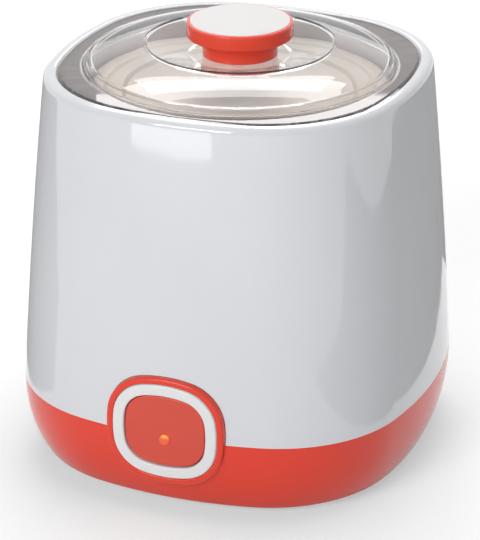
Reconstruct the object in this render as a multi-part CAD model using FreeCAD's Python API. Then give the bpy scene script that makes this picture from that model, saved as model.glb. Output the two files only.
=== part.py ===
"""Single-pot yogurt maker: a soft-square white housing on a coral tub base, with a heated metal
well, a lift-out pot with its own snap lid, a clear outer lid with a turned knob, and a push
switch behind a soft-square bezel.

Millimetres. +Z is up, the floor is z = 0 under the feet, and the button faces -Y.
"""

import FreeCAD
import Part

import math
import os

V = FreeCAD.Vector
UP = V(0, 0, 1)
BACKWARD = V(0, 1, 0)

# Lift-out container, which sets the plan and the height of the rest
POT_MOUTH_RADIUS = 62.0    # outside, at the mouth
POT_TAPER = 3.0            # mouth to foot
POT_HEIGHT = 99.5
POT_WALL = 1.8
POT_RIM_BAND = 1.2
POT_RIM_THICK = 2.2
POT_FOOT_FILLET = 7.0
POT_FOOT_RADIUS = POT_MOUTH_RADIUS - POT_TAPER
POT_RIM_RADIUS = POT_MOUTH_RADIUS + POT_RIM_BAND
SEAT_GAP = 0.3             # air left between loose pieces at rest

# Snap lid of the container
SNAP_WALL = 1.5
SNAP_SKIRT = 5.6
SNAP_RIM_BAND = 13.0       # mouth to the sunk panel
SNAP_STEP_BAND = 5.0       # mouth to the step in the rim
SNAP_STEP_SINK = 1.3
SNAP_PANEL_SINK = 2.8
SNAP_BEAD_RISE = 4.2
SNAP_BEAD_FILLET = 1.1
SNAP_PANEL_RADIUS = POT_MOUTH_RADIUS - SNAP_RIM_BAND
SNAP_STEP_RADIUS = POT_MOUTH_RADIUS - SNAP_STEP_BAND
SNAP_RADIUS = POT_RIM_RADIUS + SEAT_GAP + SNAP_WALL

# Heights
FOOT_DROP = 2.0            # how far the feet stand below the base
BASE_HEIGHT = 32.7         # underside of the base to the seam
WELL_RISE = 22.0           # seam to the floor of the well
HEAD_ROOM = 11.2           # crest of the snap lid to the crest of the rim
SEAM_Z = FOOT_DROP + BASE_HEIGHT
WELL_FLOOR_Z = SEAM_Z + WELL_RISE
POT_FOOT_Z = WELL_FLOOR_Z + SEAT_GAP
POT_TOP_Z = POT_FOOT_Z + POT_HEIGHT
RIM_Z = POT_TOP_Z + SEAT_GAP + SNAP_BEAD_RISE + HEAD_ROOM
HOUSING_HEIGHT = RIM_Z - SEAM_Z

# Heated well: a round pot hung from a soft-square deck
WELL_CLEARANCE = 1.6       # round the snap lid
WELL_DRAFT = 1.2
WELL_WALL = 1.5
WELL_FLOOR_FILLET = 5.0
WELL_MOUTH_FILLET = 2.0
DECK_BAND = 7.3            # mouth of the well to the edge of the clear lid
DECK_LAP = 2.3             # how far the deck runs on under the lip
DECK_THICK = 4.0
DECK_SKIN = 1.6
DECK_CORNER = 57.0
DECK_SIDE = 150.0
WELL_RADIUS = SNAP_RADIUS + WELL_CLEARANCE
WELL_FLOOR_RADIUS = WELL_RADIUS - WELL_DRAFT

# Clear lid: a soft-square flange and a round stepped dome with a dish in its top
LID_CORNER = 55.3
LID_SIDE = 148.0
LID_WALL = 2.2
LID_FLANGE = 3.3
LID_EDGE_FILLET = 0.8
LID_GAP = 0.4              # clearance of the lid inside the lip
STEP_LAP = 0.4             # foot of the dome outside the mouth of the well
STEP_INSET = 1.8
STEP_RISE = 2.8
STEP_FOOT_FILLET = 1.2
STEP_TOP_FILLET = 1.5
DOME_BULGE = 0.7           # how far the dome bows above a straight cone
DISH_RADIUS = 40.2         # mouth of the dish that holds the knob
DISH_LIP = 1.0             # flat ring round the mouth of the dish
DISH_FOOT_RADIUS = 22.0
DISH_RISE = 8.9            # rim of the dish above the flange
DISH_DEPTH = 5.3
DISH_FOOT_FILLET = 6.0
LID_HALF = WELL_RADIUS + DECK_BAND
DECK_HALF = LID_HALF + DECK_LAP
STEP_RADIUS = WELL_RADIUS + STEP_LAP

# Soft-square plan of the body
LIP_BAND = 5.5             # width of the rolled lip
BODY_FLARE = 10.2          # rim to seam, each side
BODY_TUCK = 7.3            # seam to underside, each side
SEAM_CORNER = 59.0
SEAM_SIDE = 180.0
RIM_CORNER = 60.3
RIM_SIDE = 160.0
UNDERSIDE_CORNER = 58.3
UNDERSIDE_SIDE = 165.0
TAPER_POWER = 1.18         # how the housing narrows towards the rim
TUCK_POWER = 2.4           # how the base tucks in towards the floor
WALL = 2.6                 # moulded wall of housing and base
UNDERSIDE_FILLET = 2.0
LIP_THICK = 3.2
LIP_FILLET = 3.0
LIP_INNER_FILLET = 1.5
RIM_HALF = LID_HALF + LID_GAP + LIP_BAND
SEAM_HALF = RIM_HALF + BODY_FLARE
UNDERSIDE_HALF = SEAM_HALF - BODY_TUCK
SEAT_Z = RIM_Z - LIP_THICK
DISH_Z = SEAT_Z + LID_FLANGE + DISH_RISE
DISH_FLOOR_Z = DISH_Z - DISH_DEPTH

# Joint between base and housing
TONGUE_RISE = 4.5
TONGUE_DROP = 5.0
TONGUE_WALL = 1.6
TONGUE_GAP = 0.15
BASE_FLOOR = 2.6

# Knob
KNOB_RADIUS = 22.9
KNOB_NECK_RADIUS = 16.8
KNOB_NECK_HEIGHT = 8.0
KNOB_STEP_HEIGHT = 4.6
KNOB_NECK_STEP = 0.7
KNOB_FLARE = 1.8
KNOB_BAND = 6.6            # height of the knob's outer band
KNOB_WALL = 2.2
KNOB_BAND_FILLET = 0.9
KNOB_CAP_RADIUS = 21.4
KNOB_CAP_THICK = 1.8
KNOB_CAP_CROWN = 0.8
KNOB_CAP_PROUD = 0.2
KNOB_FIT = 0.15
KNOB_BOSS_RADIUS = 4.6
KNOB_SCREW_RADIUS = 1.75
KNOB_SCREW_HEAD = 3.6
KNOB_SCREW_HEAD_THICK = 2.2
KNOB_WASHER_RADIUS = 6.0
KNOB_WASHER_THICK = 1.0
KNOB_SCREW_LENGTH = 12.0
SCREW_CLEARANCE = 0.25

# Heater stack under the well
HEATER_MARGIN = 13.4       # inside the floor of the well
HEATER_THICK = 1.2
HEATER_TAIL_WIDTH = 14.0
HEATER_TAIL_REACH = 9.0
FELT_LAP = 2.0
FELT_THICK = 3.0
SUPPORT_LAP = 5.0
SUPPORT_THICK = 2.4
SUPPORT_LEG_RADIUS = 3.6
SUPPORT_LEG_INSET = 13.0
SUPPORT_WINDOW_RADIUS = 15.0
THERMOSTAT_RADIUS = 8.5
THERMOSTAT_HEIGHT = 9.0
THERMOSTAT_BOSS_RADIUS = 5.5
THERMOSTAT_EAR = 24.0
THERMOSTAT_EAR_WIDTH = 6.0
THERMOSTAT_EAR_THICK = 1.0
FUSE_RADIUS = 2.4
FUSE_LENGTH = 14.0
FUSE_INSET = 24.0
FUSE_BAY_X = 26.0
FUSE_BAY_Y = 8.0
FUSE_CLIP_WALL = 0.8
FUSE_CLIP_WIDTH = 7.0
FUSE_END_FILLET = 0.6
HEATER_RADIUS = WELL_FLOOR_RADIUS - HEATER_MARGIN
FELT_RADIUS = HEATER_RADIUS + FELT_LAP
SUPPORT_RADIUS = HEATER_RADIUS + SUPPORT_LAP
SUPPORT_LEG_PITCH = SUPPORT_RADIUS - SUPPORT_LEG_INSET
FUSE_OFFSET = HEATER_RADIUS - FUSE_INSET

# Button group on the front
BUTTON_RISE = 2.8          # centre of the button above the seam
BUTTON_CORNER = 11.0
BUTTON_HALF_X = 18.0
BUTTON_HALF_Z = 16.0
BUTTON_SIDE = 44.0         # bulge radius of the button's sides
BUTTON_GAP = 0.45
RING_BAND = 4.95           # width of the pale ring round the button
RING_GAP = 0.2
BEZEL_BAND = 2.9
BEZEL_PROUD = 0.7          # bezel in front of the seam's widest point
RING_PROUD = 0.3           # ring in front of the bezel
BUTTON_SINK = 0.9          # button behind the ring at rest
BEZEL_FILLET = 1.3
BEZEL_INNER_FILLET = 0.6
RING_FILLET = 0.8
BUTTON_FILLET = 0.7
BUTTON_SKIN = 2.0
BUTTON_SKIRT = 6.0
BUTTON_TRAVEL = 3.0
RING_DEPTH = 5.0
LEDGE_INSET = 3.0
BEZEL_DEPTH = 16.0
CUTOUT_GAP = 0.2
STEM_RADIUS = 3.4
PLUNGER_RISE = 5.0         # plunger above the button's centre
LENS_DROP = 4.0            # lens below the button's centre
LENS_RADIUS = 2.4
LENS_DOME = 1.0
LENS_FLANGE_RADIUS = 3.6
LENS_FLANGE_THICK = 1.0
PRESS_FIT = 0.1

# Switch behind the button
CARRIER_THICK = 2.4
CARRIER_HALF_X = 26.0
CARRIER_HALF_Z = 11.0
CARRIER_SCREW_X = 23.5
CARRIER_SCREW_RADIUS = 1.4
CARRIER_SCREW_HEAD = 2.4
CARRIER_SCREW_HEAD_THICK = 1.6
CARRIER_SCREW_LENGTH = 8.0
SWITCH_HALF_X = 9.0
SWITCH_HALF_Z = 5.0
SWITCH_DEPTH = 17.0
SWITCH_BLADE = 5.0
SWITCH_BLADE_THICK = 1.0
SWITCH_BORE = 7.5
PLUNGER_RADIUS = 2.6
LAMP_RADIUS = 2.0
LAMP_LENGTH = 9.0
LAMP_FILLET = 1.2

# Mains entry, leads and base fixings
GLAND_RADIUS = 3.4         # bore for a 6.5 mm lead
GLAND_WALL = 2.6
GLAND_FLANGE_RADIUS = 9.0
GLAND_EDGE_FILLET = 0.7
GLAND_LENGTH = 14.0
GLAND_RISE = 12.4          # above the floor of the base
BLOCK_X = 26.0
BLOCK_Y = 16.0
BLOCK_Z = 11.0
BLOCK_INSET = 42.0         # middle of the block from the seam
BLOCK_SCREW_RADIUS = 2.0
BLOCK_WIRE_RADIUS = 1.6
BLOCK_SCREW_PITCH = 12.0
LEAD_RADIUS = 1.1
LEAD_GAP = 0.4             # air at each end of a lead
LEAD_REACH = 24.0          # how far a lead holds its heading at each end
LEAD_TURN = 5.5            # the same for the short turn beside the fuse
LEAD_DROP = 17.0           # how far a lead drops below the fuse
FIX_INSET = 31.0           # screw columns from the seam, each way
FIX_COLUMN_RADIUS = 4.6
FIX_COLUMN_RISE = 27.3     # top of the columns above the seam
FIX_RIB = 2.0
FIX_SCREW_RADIUS = 1.75
FIX_SCREW_HEAD = 3.4
FIX_SCREW_HEAD_THICK = 2.0
FIX_SCREW_LENGTH = 14.0
FIX_PAD = 3.5
FOOT_INSET = 39.7          # feet from the edge of the underside, each way
FOOT_RADIUS = 8.0
FOOT_SINK = 1.2
FOOT_FILLET = 0.8

BASE_UNDERSIDE = FOOT_DROP
BASE_INSIDE = BASE_UNDERSIDE + BASE_FLOOR
GLAND_Z = BASE_INSIDE + GLAND_RISE
BLOCK_PLACE_Y = SEAM_HALF - BLOCK_INSET
FIX_PITCH = SEAM_HALF - FIX_INSET
FIX_COLUMN_TOP = SEAM_Z + FIX_COLUMN_RISE
FOOT_PITCH = UNDERSIDE_HALF - FOOT_INSET
WELL_UNDERSIDE = WELL_FLOOR_Z - WELL_WALL
HEATER_TOP = WELL_UNDERSIDE
FELT_TOP = HEATER_TOP - HEATER_THICK
SUPPORT_TOP = FELT_TOP - FELT_THICK
BEZEL_FRONT = -(SEAM_HALF + BEZEL_PROUD)
RING_FRONT = BEZEL_FRONT - RING_PROUD
BUTTON_FRONT = RING_FRONT + BUTTON_SINK
BEZEL_BACK = BEZEL_FRONT + BEZEL_DEPTH
CARRIER_BACK = BEZEL_BACK + CARRIER_THICK
SWITCH_BACK = CARRIER_BACK + SWITCH_DEPTH
GLAND_BACK = -RING_FRONT
BUTTON_Z = SEAM_Z + BUTTON_RISE
PLUNGER_Z = BUTTON_Z + PLUNGER_RISE
LENS_Z = BUTTON_Z - LENS_DROP


def soft_outline(half_x, half_y, corner, side_x, side_y):
    """Closed wire of eight tangent arcs: bulged sides joined by corner arcs, in the XY plane."""
    front = V(0, side_y - half_y, 0)
    right = V(half_x - side_x, 0, 0)
    reach_f = side_y - corner
    reach_r = side_x - corner
    gap = right - front
    span = gap.Length
    along = (reach_f ** 2 - reach_r ** 2 + span ** 2) / (2 * span)
    off = math.sqrt(reach_f ** 2 - along ** 2)
    unit = gap * (1 / span)
    centre = front + unit * along + V(-unit.y, unit.x, 0) * (-off)
    if centre.x < 0:
        centre = front + unit * along + V(-unit.y, unit.x, 0) * off
    low = front + (centre - front).normalize() * side_y
    high = right + (centre - right).normalize() * side_x
    tip = centre + ((low - centre) + (high - centre)).normalize() * corner
    edges = []
    for sx, sy in ((1, 1), (1, -1), (-1, -1), (-1, 1)):
        def at(p):
            return V(p.x * sx, p.y * sy, 0)
        corner_ends = [at(low), at(tip), at(high)]
        if sx * sy < 0:
            corner_ends.reverse()
        edges.append(Part.Arc(*corner_ends).toShape())
        if sx * sy > 0:
            edges.append(Part.Arc(at(high), V(half_x * sx, 0, 0), V(high.x * sx, -high.y * sy, 0)).toShape())
        else:
            edges.append(Part.Arc(at(low), V(0, -half_y * sy, 0), V(-low.x * sx, low.y * sy, 0)).toShape())
    return Part.Wire(Part.__sortEdges__(edges))


def square(half, corner, side, z, inset=0.0):
    """Soft square of one half width at one height, moved in by inset."""
    wire = soft_outline(half - inset, half - inset, corner - inset, side - inset, side - inset)
    wire.translate(V(0, 0, z))
    return wire


def slab(wire, thick):
    """Solid between a flat wire and the same wire raised by thick."""
    return Part.Face(wire).extrude(UP * thick)


def button_block(grow, y_front, y_back):
    """Block with the button's soft outline, grown all round, from y_front back to y_back."""
    side = BUTTON_SIDE + grow
    wire = soft_outline(BUTTON_HALF_X + grow, BUTTON_HALF_Z + grow, BUTTON_CORNER + grow, side, side)
    wire.rotate(V(0, 0, 0), V(1, 0, 0), 90)
    wire.translate(V(0, y_front, BUTTON_Z))
    return Part.Face(wire).extrude(BACKWARD * (y_back - y_front))


def rod(radius, length, at, axis=UP):
    """Cylinder from a point along an axis."""
    return Part.makeCylinder(radius, length, at, axis)


def block(x, y, z, centre_xy, z_low):
    """Box of given sizes centred on a point in plan, standing on z_low."""
    return Part.makeBox(x, y, z, V(centre_xy[0] - x / 2, centre_xy[1] - y / 2, z_low))


def turned(points):
    """Solid of revolution about Z from (radius, height) points."""
    wire = Part.makePolygon([V(r, 0, z) for r, z in points] + [V(points[0][0], 0, points[0][1])])
    return Part.Face(wire).revolve(V(0, 0, 0), UP, 360)


def rounded(shape, radius, keep):
    """Fillet on every edge that keep accepts."""
    edges = [e for e in shape.Edges if keep(e)]
    return shape.makeFillet(radius, edges)


def flat_at(z):
    """Picks edges that lie in one horizontal plane."""
    def keep(edge):
        return abs(edge.BoundBox.ZMin - z) < 1e-4 and abs(edge.BoundBox.ZMax - z) < 1e-4
    return keep


def circle_at(radius, z):
    """Picks the circle of one radius about the axis at a height."""
    level = flat_at(z)

    def keep(edge):
        return level(edge) and abs(edge.BoundBox.XMax - radius) < 1e-3
    return keep


def facing_at(y):
    """Picks edges that lie in one plane square to Y."""
    def keep(edge):
        return abs(edge.BoundBox.YMin - y) < 1e-4 and abs(edge.BoundBox.YMax - y) < 1e-4
    return keep


def four_corners(pitch):
    """Plan points of a square pattern about the centre."""
    return [V(sx * pitch, sy * pitch, 0) for sx in (-1, 1) for sy in (-1, 1)]


def joined(shapes):
    """One clean solid from overlapping pieces."""
    whole = shapes[0]
    for other in shapes[1:]:
        whole = whole.fuse(other)
    return whole.removeSplitter()


def blend(low, high, share):
    """Value part of the way from low to high."""
    return low + (high - low) * share


def housing_section(z, inset):
    """Outline of the housing at a height."""
    share = ((z - SEAM_Z) / HOUSING_HEIGHT) ** TAPER_POWER
    half = blend(SEAM_HALF, RIM_HALF, share)
    corner = blend(SEAM_CORNER, RIM_CORNER, share)
    return square(half, corner, blend(SEAM_SIDE, RIM_SIDE, share), z, inset)


def base_section(z, inset):
    """Outline of the base at a height."""
    share = ((SEAM_Z - z) / BASE_HEIGHT) ** TUCK_POWER
    half = blend(SEAM_HALF, UNDERSIDE_HALF, share)
    corner = blend(SEAM_CORNER, UNDERSIDE_CORNER, share)
    return square(half, corner, blend(SEAM_SIDE, UNDERSIDE_SIDE, share), z, inset)


def housing_solid(top, inset):
    """Filled housing from the seam up to a height."""
    heights = [SEAM_Z, (SEAM_Z + top) / 2, top]
    return Part.makeLoft([housing_section(z, inset) for z in heights], True, False)


def base_solid(low, inset):
    """Filled base from a height up to the seam."""
    heights = [blend(low, SEAM_Z, k / 4) for k in range(4)] + [SEAM_Z]
    return Part.makeLoft([base_section(z, inset) for z in heights], True, False)


def bezel_block(grow):
    """Block with the collar's outline, through the front walls."""
    return button_block(BUTTON_GAP + RING_BAND + RING_GAP + BEZEL_BAND + grow, BEZEL_FRONT, BEZEL_BACK)


def outer_housing():
    """White shell with a rolled lip round the lid and four screw columns."""
    shell = rounded(housing_solid(RIM_Z, 0.0), LIP_FILLET, flat_at(RIM_Z))
    shell = shell.cut(housing_solid(SEAT_Z, WALL))
    mouth = square(LID_HALF, LID_CORNER, LID_SIDE, SEAT_Z, -LID_GAP)
    shell = shell.cut(slab(mouth, LIP_THICK))
    shell = rounded(shell, LIP_INNER_FILLET, inside_of(RIM_Z))
    shell = joined([shell] + [fixing_column(at) for at in four_corners(FIX_PITCH)])
    for at in four_corners(FIX_PITCH):
        shell = shell.cut(rod(FIX_SCREW_RADIUS, FIX_SCREW_LENGTH, at + UP * (BASE_INSIDE + FIX_PAD)))
    return shell.cut(bezel_block(CUTOUT_GAP))


def inside_of(z):
    """Picks the edges of the lid's mouth at a height."""
    reach = LID_HALF + LID_GAP

    def keep(edge):
        box = edge.BoundBox
        level = abs(box.ZMin - z) < 1e-3 and abs(box.ZMax - z) < 1e-3
        span = max(box.XMax, -box.XMin, box.YMax, -box.YMin)
        return level and span < reach + LID_GAP
    return keep


def fixing_column(at):
    """Screw column with a rib that ties it to the housing's corner."""
    low = BASE_INSIDE + FIX_PAD
    column = rod(FIX_COLUMN_RADIUS, FIX_COLUMN_TOP - low, at + UP * low)
    rib_low = SEAM_Z + TONGUE_RISE + FIX_RIB
    rib = Part.makeBox(SEAM_HALF, FIX_RIB, FIX_COLUMN_TOP - rib_low, V(0, -FIX_RIB / 2, rib_low))
    rib.rotate(V(0, 0, 0), UP, math.degrees(math.atan2(at.y, at.x)))
    rib.translate(at)
    return column.fuse(rib.common(housing_solid(SEAT_Z, WALL / 2)))


def base_shell():
    """Coral tub with a floor, a tongue inside the housing and the button's collar in its front."""
    tub = rounded(base_solid(BASE_UNDERSIDE, 0.0), UNDERSIDE_FILLET, flat_at(BASE_UNDERSIDE))
    tub = tub.cut(base_solid(BASE_INSIDE, WALL))
    tub = joined([tub, tongue()])
    sink = UP * (BASE_INSIDE - BASE_FLOOR / 2)
    pad_high = FIX_PAD + BASE_FLOOR / 2
    leg_high = SUPPORT_TOP - SUPPORT_THICK - sink.z
    pads = [rod(FIX_COLUMN_RADIUS, pad_high, at + sink) for at in four_corners(FIX_PITCH)]
    legs = [rod(SUPPORT_LEG_RADIUS, leg_high, at + sink) for at in support_legs()]
    tub = joined([tub] + pads + legs)
    for at in four_corners(FIX_PITCH):
        tub = tub.cut(rod(FIX_SCREW_RADIUS + SCREW_CLEARANCE, BASE_INSIDE + FIX_PAD, at))
        tub = tub.cut(rod(FIX_SCREW_HEAD + SCREW_CLEARANCE, BASE_UNDERSIDE + FIX_SCREW_HEAD_THICK, at))
    for at in four_corners(FOOT_PITCH):
        tub = tub.cut(rod(FOOT_RADIUS, BASE_UNDERSIDE + FOOT_SINK, at))
    entry = V(0, SEAM_HALF - GLAND_LENGTH, GLAND_Z)
    tub = tub.cut(rod(GLAND_RADIUS + GLAND_WALL + PRESS_FIT, GLAND_LENGTH * 2, entry, BACKWARD))
    return joined([tub.cut(bezel_block(0.0)), button_collar()])


def tongue():
    """Upright ring that stands inside the housing, with a web back to the base's wall."""
    low = SEAM_Z - TONGUE_DROP
    high = TONGUE_DROP + TONGUE_RISE
    out = WALL + TONGUE_GAP

    def outline(inset):
        return square(SEAM_HALF, SEAM_CORNER, SEAM_SIDE, low, inset)
    ring = slab(outline(out + TONGUE_GAP), high).cut(slab(outline(out + TONGUE_WALL), high))
    web = slab(outline(WALL / 2), TONGUE_WALL).cut(slab(outline(out + TONGUE_WALL), TONGUE_WALL))
    return ring.fuse(web.common(base_solid(BASE_INSIDE, WALL / 2)))


def button_collar():
    """Raised collar round the button, with a ledge for the ring and holes for the switch's screws."""
    collar = rounded(bezel_block(0.0), BEZEL_FILLET, facing_at(BEZEL_FRONT))
    seat = RING_FRONT + RING_DEPTH
    out = BUTTON_GAP + RING_BAND + RING_GAP
    collar = collar.cut(button_block(out, BEZEL_FRONT, seat))
    collar = rounded(collar, BEZEL_INNER_FILLET, facing_inside(BEZEL_FRONT))
    collar = collar.cut(button_block(out - LEDGE_INSET, seat, BEZEL_BACK))
    for sx in (-1, 1):
        start = V(sx * CARRIER_SCREW_X, BEZEL_BACK - CARRIER_SCREW_LENGTH, BUTTON_Z)
        collar = collar.cut(rod(CARRIER_SCREW_RADIUS, CARRIER_SCREW_LENGTH, start, BACKWARD))
    return collar


def facing_inside(y):
    """Picks the inner edges of the collar's front face."""
    out = BUTTON_GAP + RING_BAND + RING_GAP
    reach_x = BUTTON_HALF_X + out + PRESS_FIT
    reach_z = BUTTON_HALF_Z + out + PRESS_FIT
    in_plane = facing_at(y)

    def keep(edge):
        box = edge.BoundBox
        wide = max(box.XMax, -box.XMin)
        high = max(box.ZMax - BUTTON_Z, BUTTON_Z - box.ZMin)
        return in_plane(edge) and wide < reach_x and high < reach_z
    return keep


def support_legs():
    """Plan points of the three posts that carry the heater's support plate."""
    return [V(SUPPORT_LEG_PITCH * math.cos(t), SUPPORT_LEG_PITCH * math.sin(t), 0)
            for t in (math.radians(120 * k) for k in range(3))]


def rubber_feet():
    """Four soft discs pushed into the pockets of the base."""
    feet = []
    for at in four_corners(FOOT_PITCH):
        foot = rod(FOOT_RADIUS - PRESS_FIT, FOOT_DROP + FOOT_SINK, at)
        feet.append(rounded(foot, FOOT_FILLET, flat_at(0.0)))
    return Part.makeCompound(feet)


def pan_screw(radius, length, head, head_thick, at, axis):
    """Round-headed screw: the head starts at the point and the shank runs along the axis."""
    shank = rod(radius, length, at + axis * head_thick, axis)
    return rod(head, head_thick, at, axis).fuse(shank).removeSplitter()


def base_screws():
    """Four screws from below into the housing's columns."""
    head_low = UP * BASE_UNDERSIDE
    radius = FIX_SCREW_RADIUS - PRESS_FIT
    return Part.makeCompound([
        pan_screw(radius, FIX_SCREW_LENGTH, FIX_SCREW_HEAD, FIX_SCREW_HEAD_THICK, at + head_low, UP)
        for at in four_corners(FIX_PITCH)])


def heating_well():
    """Round metal pot hung from a soft-square deck under the lip."""
    deck = slab(square(DECK_HALF, DECK_CORNER, DECK_SIDE, SEAT_Z - DECK_SKIN), DECK_SKIN)
    outside = turned([(0, WELL_UNDERSIDE), (WELL_FLOOR_RADIUS + WELL_WALL, WELL_UNDERSIDE),
                      (WELL_RADIUS + WELL_WALL, SEAT_Z - DECK_THICK),
                      (WELL_RADIUS + WELL_WALL + DECK_THICK - DECK_SKIN, SEAT_Z - DECK_SKIN),
                      (WELL_RADIUS + WELL_WALL, SEAT_Z), (0, SEAT_Z)])
    outside = rounded(outside, WELL_FLOOR_FILLET + WELL_WALL, flat_at(WELL_UNDERSIDE))
    inside = turned([(0, WELL_FLOOR_Z), (WELL_FLOOR_RADIUS, WELL_FLOOR_Z),
                     (WELL_RADIUS, SEAT_Z), (0, SEAT_Z)])
    inside = rounded(inside, WELL_FLOOR_FILLET, flat_at(WELL_FLOOR_Z))
    well = joined([outside, deck]).cut(inside)
    return rounded(well, WELL_MOUTH_FILLET, circle_at(WELL_RADIUS, SEAT_Z))


def heater_foil():
    """Flat heating disc with a tail for its two leads."""
    disc = rod(HEATER_RADIUS, HEATER_THICK, UP * (HEATER_TOP - HEATER_THICK))
    low = HEATER_TOP - HEATER_THICK
    tail = block(HEATER_TAIL_WIDTH, HEATER_TAIL_REACH * 2, HEATER_THICK, (0, HEATER_RADIUS), low)
    return joined([disc, tail])


def insulation_felt():
    """Felt disc between heater and support, open where the thermostat looks through."""
    disc = rod(FELT_RADIUS, FELT_THICK, UP * SUPPORT_TOP)
    window = rod(THERMOSTAT_BOSS_RADIUS + SEAT_GAP, FELT_THICK, UP * SUPPORT_TOP)
    fuse_gap = block(FUSE_BAY_X, FUSE_BAY_Y, FELT_THICK, (0, FUSE_OFFSET), SUPPORT_TOP)
    return disc.cut(window).cut(fuse_gap)


def heater_support():
    """Plate on the base's posts that presses the heater against the well."""
    low = SUPPORT_TOP - SUPPORT_THICK
    plate = rod(SUPPORT_RADIUS, SUPPORT_THICK, UP * low)
    window = rod(SUPPORT_WINDOW_RADIUS, SUPPORT_THICK, UP * low)
    fuse_gap = block(FUSE_BAY_X, FUSE_BAY_Y, SUPPORT_THICK, (0, FUSE_OFFSET), low)
    return plate.cut(window).cut(fuse_gap)


def thermostat():
    """Bimetal thermostat on a spring ear plate under the heater."""
    top = FELT_TOP
    boss = rod(THERMOSTAT_BOSS_RADIUS, FELT_THICK, UP * (top - FELT_THICK))
    ear_z = SUPPORT_TOP - SUPPORT_THICK - THERMOSTAT_EAR_THICK
    neck = rod(THERMOSTAT_RADIUS, SUPPORT_TOP - ear_z, UP * ear_z)
    body = rod(THERMOSTAT_RADIUS, THERMOSTAT_HEIGHT, UP * (ear_z - THERMOSTAT_HEIGHT))
    ear = block(THERMOSTAT_EAR * 2, THERMOSTAT_EAR_WIDTH, THERMOSTAT_EAR_THICK, (0, 0), ear_z)
    return joined([boss, neck, body, ear])


def thermal_fuse():
    """Cylindrical fuse lying under the heater."""
    low = FELT_TOP - FUSE_RADIUS
    body = rod(FUSE_RADIUS, FUSE_LENGTH, V(-FUSE_LENGTH / 2, FUSE_OFFSET, low), V(1, 0, 0))
    return rounded(body, FUSE_END_FILLET, lambda e: e.BoundBox.XLength < 1e-4)


def fuse_clip():
    """Sprung strap that holds the fuse up against the heater."""
    centre = V(0, FUSE_OFFSET, FELT_TOP - FUSE_RADIUS)
    half = FUSE_CLIP_WIDTH / 2
    strap = rod(FUSE_RADIUS + FUSE_CLIP_WALL, FUSE_CLIP_WIDTH, centre - V(half, 0, 0), V(1, 0, 0))
    strap = strap.cut(rod(FUSE_RADIUS, FUSE_CLIP_WIDTH, centre - V(half, 0, 0), V(1, 0, 0)))
    return strap.cut(block(FUSE_LENGTH, FUSE_RADIUS * 4, FUSE_RADIUS * 2, (0, FUSE_OFFSET), centre.z))


def button_ring():
    """Pale soft-square ring that frames the button."""
    back = RING_FRONT + RING_DEPTH
    ring = button_block(BUTTON_GAP + RING_BAND, RING_FRONT, back)
    ring = ring.cut(button_block(BUTTON_GAP, RING_FRONT, back))
    return rounded(ring, RING_FILLET, facing_at(RING_FRONT))


def power_button():
    """Coral cap with a skirt, a stem and a hole for the lamp's lens."""
    back = BUTTON_FRONT + BUTTON_SKIRT
    cap = rounded(button_block(0.0, BUTTON_FRONT, back), BUTTON_FILLET, facing_at(BUTTON_FRONT))
    cap = cap.cut(button_block(-BUTTON_SKIN, BUTTON_FRONT + BUTTON_SKIN, back))
    stem_start = V(0, BUTTON_FRONT + BUTTON_SKIN / 2, PLUNGER_Z)
    stem = rod(STEM_RADIUS, BUTTON_SKIRT - BUTTON_SKIN / 2, stem_start, BACKWARD)
    hole = rod(LENS_RADIUS + PRESS_FIT, BUTTON_SKIN, V(0, BUTTON_FRONT, LENS_Z), BACKWARD)
    return joined([cap, stem]).cut(hole)


def pilot_lens():
    """Amber lens with a domed front, held in the button by its flange."""
    front = BUTTON_FRONT - LENS_DOME
    barrel = rod(LENS_RADIUS, BUTTON_SKIN + LENS_DOME, V(0, front, LENS_Z), BACKWARD)
    barrel = rounded(barrel, LENS_DOME, facing_at(front))
    flange = rod(LENS_FLANGE_RADIUS, LENS_FLANGE_THICK, V(0, BUTTON_FRONT + BUTTON_SKIN, LENS_Z), BACKWARD)
    return joined([flange, barrel])


def switch_plunger():
    """Rod from the button's stem into the switch."""
    start = BUTTON_FRONT + BUTTON_SKIRT
    return rod(PLUNGER_RADIUS, CARRIER_BACK + BUTTON_TRAVEL - start, V(0, start, PLUNGER_Z), BACKWARD)


def switch_carrier():
    """Plate across the back of the collar that carries the switch and the lamp."""
    plate = Part.makeBox(CARRIER_HALF_X * 2, CARRIER_THICK, CARRIER_HALF_Z * 2,
                         V(-CARRIER_HALF_X, BEZEL_BACK, BUTTON_Z - CARRIER_HALF_Z))
    bores = [(PLUNGER_RADIUS + SEAT_GAP, 0, PLUNGER_Z), (LAMP_RADIUS + PRESS_FIT, 0, LENS_Z)]
    bores += [(CARRIER_SCREW_RADIUS + SCREW_CLEARANCE, sx * CARRIER_SCREW_X, BUTTON_Z) for sx in (-1, 1)]
    for radius, x, z in bores:
        plate = plate.cut(rod(radius, CARRIER_THICK, V(x, BEZEL_BACK, z), BACKWARD))
    return plate


def carrier_screws():
    """Two screws that hold the carrier to the collar."""
    head_at = CARRIER_BACK + CARRIER_SCREW_HEAD_THICK
    return Part.makeCompound([
        pan_screw(CARRIER_SCREW_RADIUS - PRESS_FIT, CARRIER_SCREW_LENGTH, CARRIER_SCREW_HEAD,
                  CARRIER_SCREW_HEAD_THICK, V(sx * CARRIER_SCREW_X, head_at, BUTTON_Z), -BACKWARD)
        for sx in (-1, 1)])


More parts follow.
